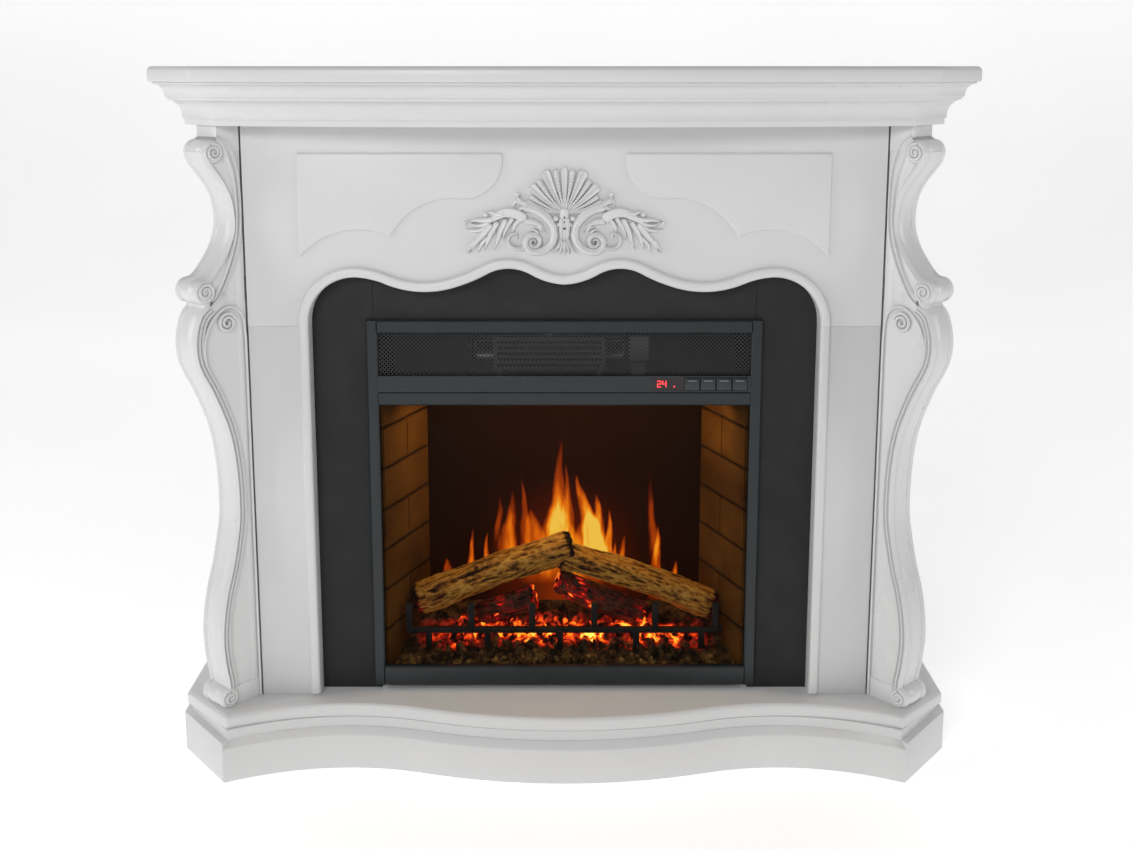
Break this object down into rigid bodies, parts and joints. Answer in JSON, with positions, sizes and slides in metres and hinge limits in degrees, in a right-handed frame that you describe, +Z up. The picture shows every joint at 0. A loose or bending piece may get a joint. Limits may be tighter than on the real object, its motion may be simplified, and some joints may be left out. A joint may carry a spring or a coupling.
{
  "type": "electric fireplace",
  "caption": "Free-standing electric fireplace: carved mantel with scrolled consoles and a scalloped opening around a glazed insert with logs, heater and touch keys.",
  "frame": {"origin": "on the floor, under the middle of the bounding box", "axes": "+X to the right as seen from the front, +Y back to the wall, +Z up"},
  "size_m": [1.21, 0.38, 1.072],
  "materials": {
    "mantel_paint": "satin white lacquer on MDF",
    "carved_paint": "cast resin, satin white lacquer",
    "surround_board": "charcoal lacquer on MDF",
    "frame_enamel": "satin blue-black enamel",
    "casing_steel": "matt black sheet steel",
    "tinted_glass": "clear toughened glass",
    "strip_plastic": "gloss blue-black moulding",
    "display_lens": "smoked lens over red digits",
    "key_plastic": "gloss black keys",
    "circuit_board": "green solder mask",
    "brick_liner": "moulded brick pattern with mortar joints",
    "screen_film": "dark screen with projected flames",
    "ember_resin": "translucent resin embers, lit from below",
    "log_resin": "painted resin bark",
    "grate_iron": "matt black",
    "spindle_chrome": "mirror vanes",
    "motor_metal": "plated steel can",
    "heater_metal": "heater fins",
    "rotor_metal": "pressed aluminium blades",
    "rubber_gland": "black",
    "screw_steel": "zinc plated"
  },
  "bodies": {
    "mantel": {"back_rail": "mantel_paint", "baffle_plate": "casing_steel", "base_tray": "casing_steel", "blower_housing": "casing_steel", "blower_motor": "motor_metal", "brick_panel_left": "brick_liner", "brick_panel_right": "brick_liner", "casing_back": "casing_steel", "casing_screws": "screw_steel", "casing_side_left": "casing_steel", "casing_side_right": "casing_steel", "casing_top": "casing_steel", "console_left": "carved_paint", "console_right": "carved_paint", "control_board": "circuit_board", "control_fascia": "strip_plastic", "cord_gland": "rubber_gland", "corner_post_left": "mantel_paint", "corner_post_right": "mantel_paint", "crest_ornament": "carved_paint", "crown_end_left": "mantel_paint", "crown_end_right": "mantel_paint", "crown_front": "mantel_paint", "display_window": "display_lens", "ember_bed": "ember_resin", "field_panel_left": "mantel_paint", "field_panel_right": "mantel_paint", "flame_screen": "screen_film", "frame_rail_bottom": "frame_enamel", "frame_rail_top": "frame_enamel", "frame_stile_left": "frame_enamel", "frame_stile_right": "frame_enamel", "frieze_panel": "mantel_paint", "glass_pane": "tinted_glass", "grate": "grate_iron", "hearth_slab": "mantel_paint", "heater_block": "heater_metal", "led_board": "circuit_board", "leg_panel_left": "mantel_paint", "leg_panel_right": "mantel_paint", "log_set": "log_resin", "mid_bar": "frame_enamel", "outlet_grille": "frame_enamel", "plinth_end_left": "mantel_paint", "plinth_end_right": "mantel_paint", "plinth_front": "mantel_paint", "shelf_board": "mantel_paint", "side_panel_left": "mantel_paint", "side_panel_right": "mantel_paint", "spindle_motor": "motor_metal", "surround_left": "surround_board", "surround_right": "surround_board", "surround_top": "surround_board", "thermal_cutout": "screw_steel"},
    "button_power": {"button_power": "key_plastic"},
    "button_flame": {"button_flame": "key_plastic"},
    "button_heat_low": {"button_heat_low": "key_plastic"},
    "button_heat_high": {"button_heat_high": "key_plastic"},
    "flame_spindle": {"flame_spindle": "spindle_chrome"},
    "blower_rotor": {"blower_rotor": "rotor_metal"}
  },
  "joints": [
    {"name": "button_power_press", "type": "slide", "parent": "mantel", "child": "button_power", "axis": [0, 1, 0], "range_m": [0, 0.0012], "stiffness_N_per_m": 600},
    {"name": "button_flame_press", "type": "slide", "parent": "mantel", "child": "button_flame", "axis": [0, 1, 0], "range_m": [0, 0.0012], "stiffness_N_per_m": 600},
    {"name": "button_heat_low_press", "type": "slide", "parent": "mantel", "child": "button_heat_low", "axis": [0, 1, 0], "range_m": [0, 0.0012], "stiffness_N_per_m": 600},
    {"name": "button_heat_high_press", "type": "slide", "parent": "mantel", "child": "button_heat_high", "axis": [0, 1, 0], "range_m": [0, 0.0012], "stiffness_N_per_m": 600},
    {"name": "flame_spindle_spin", "type": "hinge", "parent": "mantel", "child": "flame_spindle", "pos_m": [0, 0.138, 0.205], "axis": [1, 0, 0], "continuous": true},
    {"name": "blower_spin", "type": "hinge", "parent": "mantel", "child": "blower_rotor", "pos_m": [-0.0235, 0.065, 0.634], "axis": [1, 0, 0], "continuous": true}
  ]
}
